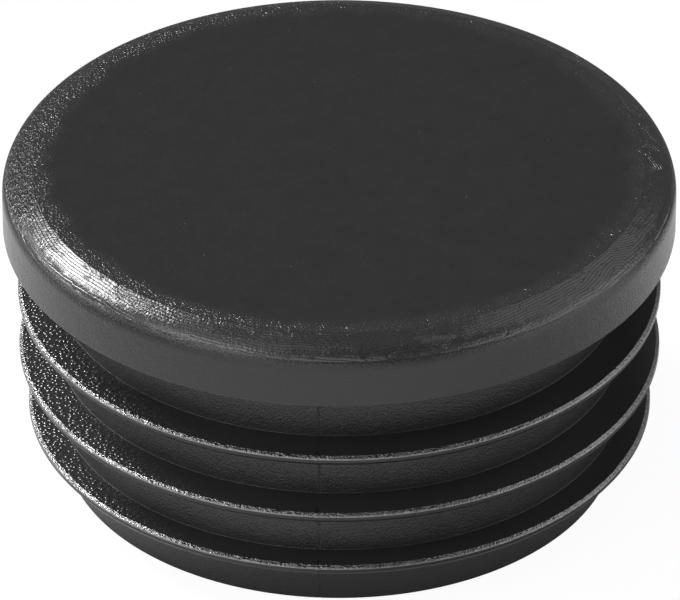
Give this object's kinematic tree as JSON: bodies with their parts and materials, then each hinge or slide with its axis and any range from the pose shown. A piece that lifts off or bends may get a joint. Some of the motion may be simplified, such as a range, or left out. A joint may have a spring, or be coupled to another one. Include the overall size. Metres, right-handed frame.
{
  "type": "tube end cap",
  "caption": "Round plug with a wide flat head and thin flexible rings around a hollow shank; it is pushed into the end of a round tube to close it and cover the cut edge.",
  "frame": {"origin": "centre of the open end of the shank, on the plane of its rim, where the cap stands on a surface", "axes": "+Z is the axis of revolution, from the open end of the shank towards the top of the head; X and Y are any two directions square to it"},
  "size_m": [0.05, 0.05, 0.0248],
  "materials": {
    "black_plastic": "satin"
  },
  "bodies": {
    "root": {"end_cap": "black_plastic"}
  },
  "joints": []
}
